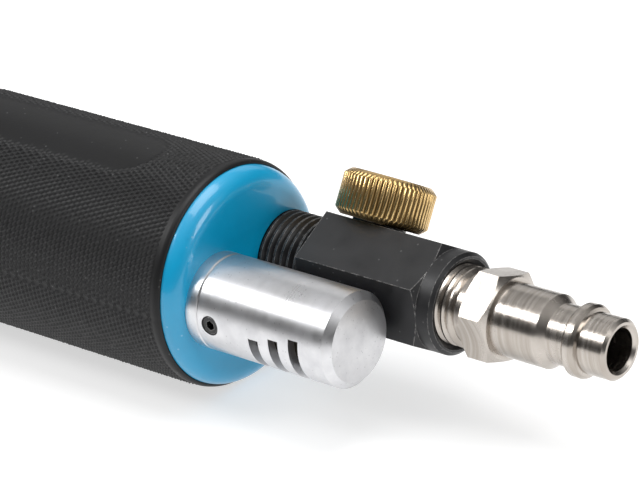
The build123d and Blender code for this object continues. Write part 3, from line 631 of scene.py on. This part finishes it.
# How far a point is outside the patch, seen from above
y = calc(t, "MULTIPLY", sine, size["Radius"])
half_width = calc(t, "MULTIPLY", size["Patch Width"], 0.5)
start = calc(t, "ADD", size["Patch Start"], half_width)
finish_x = calc(t, "SUBTRACT", size["Patch End"], half_width)
nearest = calc(t, "MINIMUM", calc(t, "MAXIMUM", x, start), finish_x)
dx = calc(t, "SUBTRACT", x, nearest)
dy = calc(t, "SUBTRACT", y, size["Patch Middle"])
away_r = calc(t, "SQRT", calc(t, "ADD", calc(t, "MULTIPLY", dx, dx), calc(t, "MULTIPLY", dy, dy)))
outside = calc(t, "SUBTRACT", away_r, half_width)
below = calc(t, "LESS_THAN", cosine, 0.0)
off_patch = calc(t, "MAXIMUM", smooth(t, outside, -1.2 * MM, 0.9 * MM), below)

# Where the bumps fade: the lip, the front edge and the two parting lines
off_lip = smooth(t, from_rear, calc(t, "MULTIPLY", size["Lip"], 0.8), size["Lip"])
off_front = smooth(t, from_front, 0.5 * MM, 1.5 * MM)
height = calc(t, "MULTIPLY", calc(t, "ABSOLUTE", cosine), size["Radius"])
off_line = smooth(t, height, 0.15 * MM, 0.5 * MM, 0.0, 1.0)
clear_rear = calc(t, "MULTIPLY", off_patch, off_lip)
bumpy = calc(t, "MULTIPLY", clear_rear, calc(t, "MULTIPLY", off_front, off_line))

# Every second point of every second row, staggered
second_row = calc(t, "MODULO", row, 2.0)
stagger = calc(t, "MODULO", calc(t, "FLOOR", calc(t, "MULTIPLY", row, 0.5)), 2.0)
second_column = calc(t, "MODULO", calc(t, "ADD", column, stagger), 2.0)
odd = calc(t, "MULTIPLY", second_row, second_column)
z = calc(t, "MULTIPLY", cosine, size["Radius"])
place = put(t, "ShaderNodeCombineXYZ", {0: x, 1: y, 2: z}).outputs[0]
uneven = ramp(t, noise(t, place, 900.0, 1.0), 0.3, 0.7, 0.75, 1.15)
raised = calc(t, "MULTIPLY", calc(t, "MULTIPLY", odd, bumpy), uneven)
sunk = calc(t, "MULTIPLY", calc(t, "SUBTRACT", 1.0, off_patch), size["Patch Depth"])
line_sunk = calc(t, "MULTIPLY", calc(t, "SUBTRACT", 1.0, off_line), 0.10 * MM)
floor_r = calc(t, "SUBTRACT", body_r, size["Bump"])
low_r = calc(t, "SUBTRACT", floor_r, calc(t, "ADD", sunk, line_sunk))
lip_gain = calc(t, "MULTIPLY", calc(t, "SUBTRACT", 1.0, off_lip), 0.10 * MM)
skin_r = calc(t, "ADD", calc(t, "ADD", low_r, lip_gain), calc(t, "MULTIPLY", raised, size["Bump"]))

# The rows that close the section
extra = calc(t, "MAXIMUM", calc(t, "SUBTRACT", row, size["Along"]), 0.0)
where_x = [x, size["Rear"], size["Cap Front"], size["Cap Front"], size["Front"]]
where_r = [skin_r, size["Cap Radius"], size["Cap Radius"], size["Bore"], size["Bore"]]
x_all = choose(t, extra, where_x)
r_all = choose(t, extra, where_r)
spot = {0: x_all, 1: calc(t, "MULTIPLY", r_all, sine)}
spot[2] = calc(t, "ADD", calc(t, "MULTIPLY", r_all, cosine), size["Axis Height"])
spot = put(t, "ShaderNodeCombineXYZ", spot).outputs[0]
moved = put(t, "GeometryNodeSetPosition", {"Geometry": grid, "Position": spot}).outputs[0]
crest = calc(t, "MULTIPLY", raised, calc(t, "LESS_THAN", extra, 0.5))
marked = {"Geometry": moved, "Name": "crest", "Value": crest}
marked = put(t, "GeometryNodeStoreNamedAttribute", marked, domain="POINT").outputs[0]
close = {"Geometry": marked, "Distance": 0.01 * MM}
merged = put(t, "GeometryNodeMergeByDistance", close).outputs[0]

# A face that reaches a raised point is shaded flat, so that its bump stays crisp
raise_kept = put(t, "GeometryNodeInputNamedAttribute", {"Name": "crest"}, data_type="FLOAT")
plain_face = calc(t, "LESS_THAN", raise_kept.outputs["Attribute"], 0.05)
shading = {"Geometry": merged, "Shade Smooth": plain_face}
shaded = put(t, "GeometryNodeSetShadeSmooth", shading, domain="FACE").outputs[0]
end_tree(t, shaded, size["Material"], result)
print(f"{len(t.nodes)} nodes")

# %% The sleeve
sleeve = grow("grip_skin", sleeve_tree, found, sleeve_sizes)


def cut_box(piece, low, high):
    """Cuts a square-cornered hole through a closed piece."""
    bpy.ops.mesh.primitive_cube_add(size=1, location=(Vector(low) + Vector(high)) / 2)
    block = bpy.context.object
    block.scale = Vector(high) - Vector(low)
    modifier = piece.modifiers.new("cut", "BOOLEAN")
    modifier.object = block
    modifier.solver = "MANIFOLD"
    ready = piece.evaluated_get(bpy.context.evaluated_depsgraph_get())
    mesh = bpy.data.meshes.new_from_object(ready)
    piece.modifiers.remove(modifier)
    piece.data = mesh
    mesh.name = piece.name
    bpy.data.objects.remove(block)


body_low, body_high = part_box("throttle_body")
gap = 0.5 * MM
opening_low, opening_high = axis_z + 10 * MM, axis_z + 30 * MM
cut_box(
    sleeve,
    (body_low.x - gap, body_low.y - gap, opening_low),
    (body_high.x + gap, body_high.y + gap, opening_high),
)
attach(sleeve, "housing")
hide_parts("grip_sleeve")
print(f"grip: {len(sleeve.data.polygons)} faces after the throttle's opening")

# %% [markdown]
# ## The brass knob
# The air regulator is turned with a small brass knob. Its straight knurl was rolled into soft
# brass, so the teeth are rounded and a little uneven, and they fade where the rims are chamfered.
# It is grown like the sleeve: rows follow the knob's profile, and the columns are pushed in and
# out as teeth. How deep each point lies in a valley is kept as an attribute, and the material
# uses it to paint shade into the valleys.

# %% Knurled brass
brass, tree, shader = finish("knurled_brass", (0.66, 0.45, 0.19), 1.0, 0.3)
valley = put(tree, "ShaderNodeAttribute", attribute_name="valley").outputs["Fac"]
cloud = use(tree, blotches, Size=0.003, Sharpness=0.1)["Mask"]
stain = use(tree, specks, Size=0.0006, Share=0.12)["Mask"]
bright = mix(tree, cloud, (0.74, 0.53, 0.25, 1), (0.58, 0.38, 0.15, 1))
spotted = mix(tree, calc(tree, "MULTIPLY", stain, 0.5), bright, (0.22, 0.17, 0.08, 1))
# The valleys are painted dark brown: painted shade in the grooves of the knurl.
painted_valley_shade = mix(tree, calc(tree, "MULTIPLY", valley, 0.9), spotted, (0.075, 0.040, 0.012, 1))
tree.links.new(painted_valley_shade, shader["Base Color"])
tree.links.new(ramp(tree, valley, 0.0, 1.0, 0.22, 0.6), shader["Roughness"])
place = put(tree, "ShaderNodeTexCoord").outputs["Object"]
relief(tree, shader, noise(tree, place, 2200.0), 0.00002, 0.7)
print(f"knurled_brass: {len(tree.nodes)} nodes")

# %% The knob's tree
turn_joint = next(joint for joint in frame["joints"] if joint["name"] == "regulator_turn")
knob_way = Vector(turn_joint["axis"]).normalized()
knob_at = Vector(turn_joint["pos_m"])
corners = [Vector(v.co) - knob_at for v in nodes["regulator_knob"].data.vertices]
heights = [corner.dot(knob_way) for corner in corners]
radii = [(corner - knob_way * corner.dot(knob_way)).length for corner in corners]
knob_sizes = {
    "Low": min(heights),
    "High": max(heights),
    "Radius": max(radii),
    "Rim": 1.1 * MM,
    "Depth": 0.42 * MM,
    "Teeth": 57,
    "Steps": 8,
    "Material": brass,
}
knob_tree = bpy.data.node_groups.new("knurled_knob", "GeometryNodeTree")
size, result, found = inputs_of(knob_tree, knob_sizes)
t = knob_tree

low, high, rim = size["Low"], size["High"], size["Rim"]
profile = [  # how far up from the low end, down from the high end, in from the radius, and tooth
    (0.0, None, 1.0, 0.0),
    (0.0, None, 0.30, 0.0),
    (0.0, None, 0.17, 0.0),
    (0.03, None, 0.145, 0.0),
    (0.5, None, 0.07, 0.15),
    (0.95, None, 0.012, 0.7),
    (1.1, None, 0.0, 1.0),
    (None, 3.2, 0.0, 1.0),
    (None, 1.1, 0.0, 1.0),
    (None, 0.95, 0.012, 0.7),
    (None, 0.5, 0.07, 0.15),
    (None, 0.03, 0.145, 0.0),
    (None, 0.0, 0.17, 0.0),
    (None, 0.0, 0.30, 0.0),
    (None, 0.12, 0.34, 0.0),
    (None, 0.12, 1.0, 0.0),
]
columns = calc(t, "ADD", calc(t, "MULTIPLY", size["Teeth"], size["Steps"]), 1.0)
grid = put(t, "GeometryNodeMeshGrid", {0: 1.0, 1: 1.0, 2: len(profile), 3: columns}).outputs[0]
index = put(t, "GeometryNodeInputIndex").outputs[0]
row = calc(t, "FLOOR", calc(t, "DIVIDE", calc(t, "ADD", index, 0.5), columns))
column = calc(t, "SUBTRACT", index, calc(t, "MULTIPLY", row, columns))
turned = calc(t, "DIVIDE", column, calc(t, "SUBTRACT", columns, 1.0))
angle = calc(t, "MULTIPLY", turned, math.tau)


def up_or_down(up, down):
    """A height, measured up from the low end or down from the high end, in rims."""
    if down is None:
        return calc(t, "ADD", low, calc(t, "MULTIPLY", rim, up / 1.1))
    return calc(t, "SUBTRACT", high, calc(t, "MULTIPLY", rim, down / 1.1))


level_at = choose(t, row, [up_or_down(up, down) for up, down, _, _ in profile])
inward = choose(t, row, [shrink for _, _, shrink, _ in profile])
strength = choose(t, row, [tooth for _, _, _, tooth in profile])
round_spot = {0: calc(t, "COSINE", angle), 1: calc(t, "SINE", angle)}
round_spot = put(t, "ShaderNodeCombineXYZ", round_spot).outputs[0]
uneven = ramp(t, noise(t, round_spot, 9.0, 1.0), 0.3, 0.7, 0.7, 1.15)
wave = calc(t, "COSINE", calc(t, "MULTIPLY", angle, size["Teeth"]))
groove = calc(t, "POWER", ramp(t, wave, 1.0, -1.0), 3.6)
tooth_share = calc(t, "MULTIPLY", groove, strength)
push = calc(t, "MULTIPLY", tooth_share, calc(t, "MULTIPLY", uneven, size["Depth"]))
r = calc(t, "SUBTRACT", calc(t, "MULTIPLY", size["Radius"], calc(t, "SUBTRACT", 1.0, inward)), push)
across = calc(t, "MULTIPLY", r, calc(t, "COSINE", angle))
aside = calc(t, "MULTIPLY", r, calc(t, "SINE", angle))
spot = put(t, "ShaderNodeCombineXYZ", {0: across, 1: aside, 2: level_at}).outputs[0]
moved = put(t, "GeometryNodeSetPosition", {"Geometry": grid, "Position": spot}).outputs[0]
marked = {"Geometry": moved, "Name": "valley", "Value": tooth_share}
marked = put(t, "GeometryNodeStoreNamedAttribute", marked, domain="POINT").outputs[0]
close = {"Geometry": marked, "Distance": 0.004 * MM}
merged = put(t, "GeometryNodeMergeByDistance", close).outputs[0]
merged = put(t, "GeometryNodeSetShadeSmooth", {"Geometry": merged, "Shade Smooth": True}).outputs[0]
end_tree(t, merged, size["Material"], result)
print(f"{len(t.nodes)} nodes")

# %% The knob
knob = grow("regulator_grip", knob_tree, found, knob_sizes)
upright = knob_way.to_track_quat("Z", "Y").to_matrix().to_4x4()
knob.data.transform(Matrix.Translation(knob_at) @ upright)
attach(knob, "regulator")
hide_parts("regulator_knob")
wear("regulator_washer", brass)
wear("regulator_stem", dark)

# %% [markdown]
# ## The two coil springs
# A spring shortens as the piece that it pushes on moves. Each coil is swept again as a round wire
# with closed ends, in the box of the CAD spring that it replaces, and is hung on the housing.


# %% Coil springs
def coil(name, low, high, centre, radius, wire, turns, way):
    """A round wire wound about a line along way, from low to high, as one closed piece."""
    around, steps = 8, 28
    up = Vector(way)
    side = up.orthogonal().normalized()
    other = up.cross(side)
    rings = int(turns * steps)
    mesh = bpy.data.meshes.new(name)
    spots = []
    for ring in range(rings + 1):
        turned = ring / steps * math.tau
        share = ring / rings
        height = low + wire / 2 + (high - low - wire) * share
        out = side * math.cos(turned) + other * math.sin(turned)
        hub = Vector(centre) + out * (radius - wire / 2) + up * height
        for corner in range(around):
            lean = corner / around * math.tau
            spots.append(hub + (out * math.cos(lean) + up * math.sin(lean)) * wire / 2)
    faces = [tuple(range(around)), tuple(range(rings * around, (rings + 1) * around))[::-1]]
    for ring in range(rings):
        for corner in range(around):
            first, second = ring * around + corner, ring * around + (corner + 1) % around
            faces.append((first, first + around, second + around, second))
    mesh.from_pydata(spots, [], faces)
    mesh.shade_smooth()
    piece = bpy.data.objects.new(name, mesh)
    bpy.context.scene.collection.objects.link(piece)
    if volume(piece) < 0:
        mesh.flip_normals()
    mesh.materials.append(wire_steel)
    print(f"{name}: {volume(piece) / MM**3:.0f} cubic mm")
    return piece


def respring(node, way, ring_r, wire, turns):
    """Winds a CAD spring again in its own box, and hangs it on the housing."""
    up = Vector(way)
    low, high = (corner.dot(up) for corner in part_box(node))
    centre = middle(node)
    centre -= up * centre.dot(up)
    piece = coil(f"{node}_coil", low, high, centre, ring_r + wire / 2, wire, turns, way)
    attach(piece, "housing")
    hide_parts(node)
    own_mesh(piece)


respring(
    "recoil_spring",
    way=(1, 0, 0),
    ring_r=9.0 * MM,
    wire=2.0 * MM,
    turns=5,
)
respring(
    "throttle_spring",
    way=(0, 0, 1),
    ring_r=2.3 * MM,
    wire=0.44 * MM,
    turns=2.5,
)
